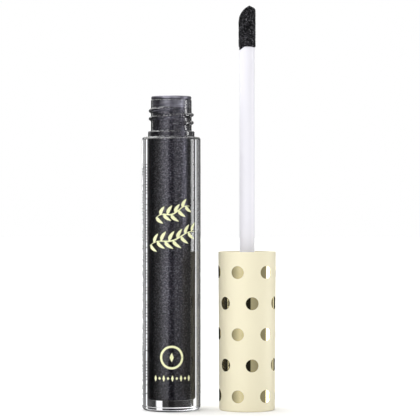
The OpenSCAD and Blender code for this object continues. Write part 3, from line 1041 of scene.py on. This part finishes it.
def makeSprigs():
    strips = []
    for x0, z0, length, rise, leaves, leafLength in sprig["lines"]:
        def stemAt(s):
            x = x0 + length * s
            z = z0 + rise * s + sprig["swing"] * math.sin(2 * math.pi * sprig["waves"] * s)
            return x, z
        strips.append(drawStroke([stemAt(k / 16) for k in range(17)],
                                 [sprig["point"], sprig["stem"], sprig["point"]], 8))
        for k in range(leaves):
            s = (k + 0.4) / (leaves + 0.6)
            x, z = stemAt(s)
            side = 1 if k % 2 else -1
            lean = math.radians(62 if side > 0 else 42)
            size = leafLength * (1 - 0.3 * abs(s - 0.45))
            dx, dz = size * math.cos(lean), side * size * math.sin(lean)
            leaf = [(x, z), (x + dx * 0.3, z + dz * 0.5), (x + dx, z + dz)]
            wide = sprig["leafWidth"]
            strips.append(drawStroke(leaf, [sprig["point"], wide, wide * 0.8, sprig["point"] / 2], 8))
    return flatMesh("sprigPrint", strips)


ring = {"height": 15.2, "radius": 2.97, "stroke": 0.62, "x": 0.25, "stone": 1.2, "stoneWidth": 1.15}


def makeRing():
    # a plain ring with a stone shape inside
    parts = 64
    outer, inner = ring["radius"] + ring["stroke"] / 2, ring["radius"] - ring["stroke"] / 2
    turns = [2 * math.pi * k / parts for k in range(parts + 1)]
    around = [(ring["x"] + outer * math.cos(t), ring["height"] + outer * math.sin(t)) for t in turns]
    back = [(ring["x"] + inner * math.cos(t), ring["height"] + inner * math.sin(t)) for t in reversed(turns)]
    strips = [np.array(around + back)]
    stone = [(ring["x"], ring["height"] + k * ring["stone"]) for k in (-1, 0, 1)]
    strips.append(drawStroke(stone, [0.05, ring["stoneWidth"], 0.05], 10))
    return flatMesh("ringPrint", strips)


dashes = {"height": 9.4, "from": -4.4, "to": 5.3, "count": 9, "tall": 1.65, "wide": 0.72}


def makeDashes():
    strips = []
    for k in range(dashes["count"]):
        x = dashes["from"] + (dashes["to"] - dashes["from"]) * k / (dashes["count"] - 1)
        tall = dashes["tall"] * (1 if k % 2 == 0 else 0.5)
        strips.append(drawStroke([(x, dashes["height"] - tall / 2), (x, dashes["height"]),
                                  (x, dashes["height"] + tall / 2)], [0.08, dashes["wide"], 0.08], 6))
    return flatMesh("dashPrint", strips)


for drawing in (makeSprigs(), makeRing(), makeDashes()):
    dress(drawing, inkColour, "tube", "label_film")
print("print is made")


label = {"foot": 3.77, "top": 68.77, "arc": 200, "thick": 0.05, "lift": 0.004,
         "line": 1.55, "mark": 0.8, "between": 0.27}   # lines of marks that run along the tube


def makeLabel():
    # an upright line beside the axis, spun round the back
    first = math.radians(90 - label["arc"] / 2)
    r = tubeRadius + label["lift"]
    place = Vector((r * math.cos(first), r * math.sin(first), label["foot"])) * mm
    piece = startPoint("labelFilm", tubeX, place)
    rise = (label["top"] - label["foot"]) * mm
    bpy.ops.mesh.extrude_vertices_move(TRANSFORM_OT_translate={"value": (0, 0, rise)})
    bpy.ops.mesh.select_all(action='SELECT')
    bpy.ops.mesh.spin(steps=100, angle=-math.radians(label["arc"]), center=(tubeX, 0, 0), axis=(0, 0, 1))
    settle(piece)
    tidyShell(piece)
    thicken(piece, label["thick"], 1)
    tidyShell(piece)
    smooth(piece, 40)
    return piece


def labelMaterial():
    # clear film with rows of grey marks, one row up the very back
    material, tree, shader = newMaterial("printedClearFilm")
    coords = tree.nodes.new("ShaderNodeTexCoord")
    split = addNode(tree, "ShaderNodeSeparateXYZ", {"Vector": coords.outputs["Object"]})
    turn = maths(tree, 'ARCTAN2', maths(tree, 'SUBTRACT', split.outputs["X"], tubeX), split.outputs["Y"])
    across = maths(tree, 'ADD', maths(tree, 'MULTIPLY', turn, tubeRadius), label["line"] / 2)
    along = maths(tree, 'MULTIPLY', split.outputs["Z"], 1 / mm)
    flat = addNode(tree, "ShaderNodeCombineXYZ", {"X": along, "Y": across}).outputs["Vector"]
    white, black = (1, 1, 1, 1), (0, 0, 0, 1)
    bricks = addNode(tree, "ShaderNodeTexBrick", {
        "Vector": flat, "Scale": 1.0, "Color1": white, "Color2": black, "Mortar": black,
        "Mortar Size": label["between"], "Mortar Smooth": 0.0, "Brick Width": label["mark"],
        "Row Height": label["line"]})
    tree.links.new(ramp(tree, bricks.outputs["Color"], [(0.25, 0.0), (0.45, 1.0)]), shader.inputs["Alpha"])
    grain = noise(tree, flat, 5.0, 3.0)
    grey = ramp(tree, grain, [(0, (0.25, 0.25, 0.27)), (1, (0.42, 0.42, 0.44))])
    tree.links.new(grey, shader.inputs["Base Color"])
    tree.links.new(ramp(tree, grain, [(0, 0.4), (1, 0.6)]), shader.inputs["Roughness"])
    return material


dress(makeLabel(), labelMaterial(), "tube", "label_film", "back_label")
print("label film is made")
